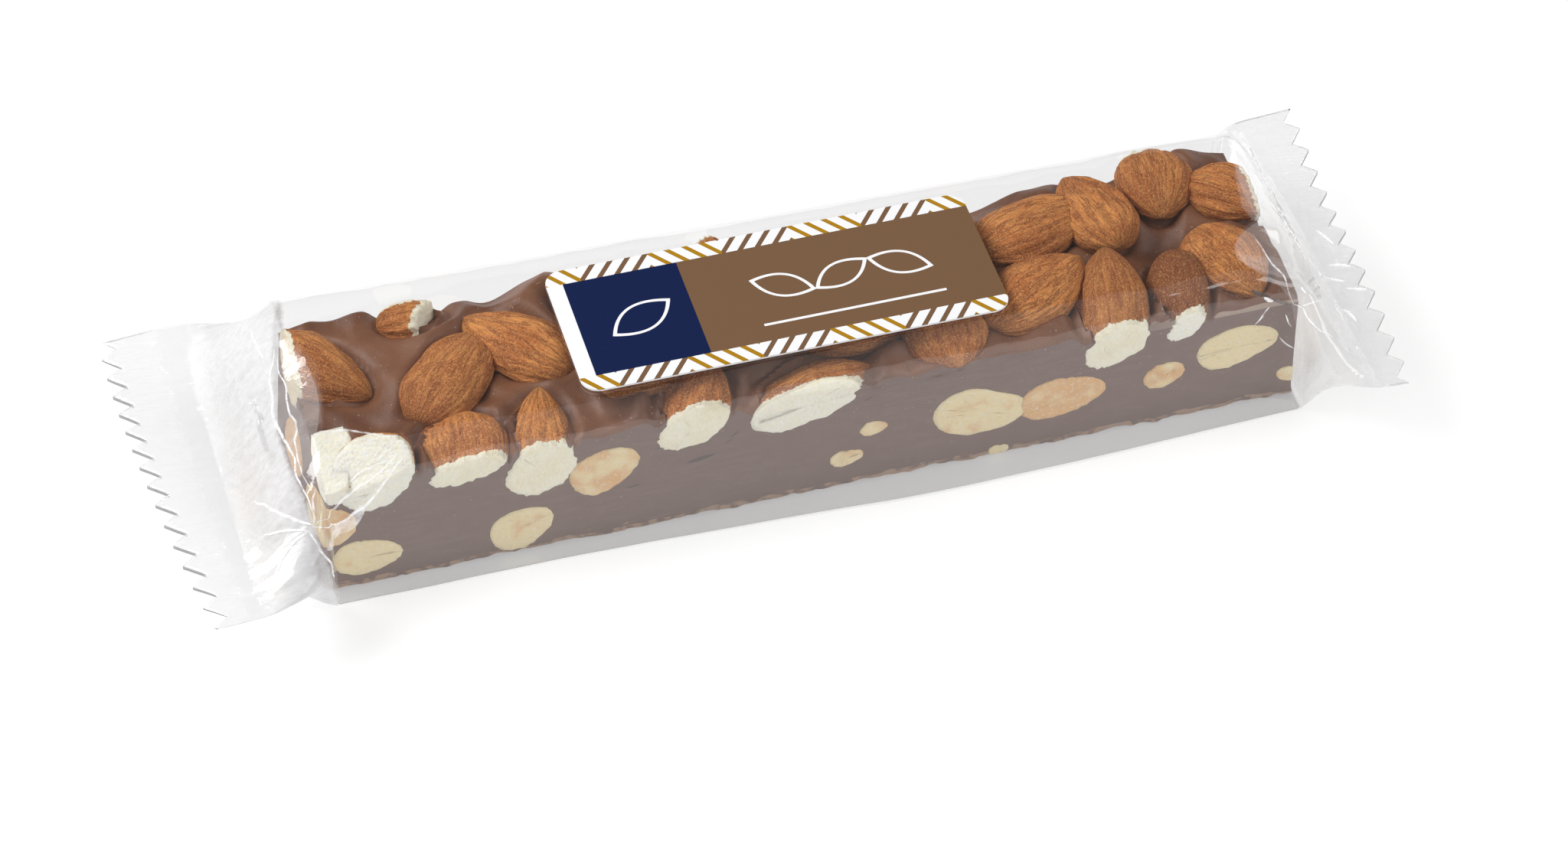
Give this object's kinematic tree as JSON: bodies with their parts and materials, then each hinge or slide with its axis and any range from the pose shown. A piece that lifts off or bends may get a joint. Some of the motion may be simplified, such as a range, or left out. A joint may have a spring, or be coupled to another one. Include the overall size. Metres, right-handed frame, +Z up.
{
  "type": "nougat bar in a clear flow pack",
  "caption": "Long square-edged nougat block with whole nuts, sealed in a clear film tube with flat zigzag-cut ends and a paper label.",
  "frame": {"origin": "on the underside, below the middle of the bar", "axes": "+X along the bar, +Z up, -Y is the front, where the label is read from"},
  "size_m": [0.2313, 0.076, 0.0319],
  "materials": {
    "film": "clear glossy plastic film",
    "label": "coated paper with printed fields"
  },
  "bodies": {
    "root": {"wrapper": "film", "label": "label"}
  },
  "joints": []
}
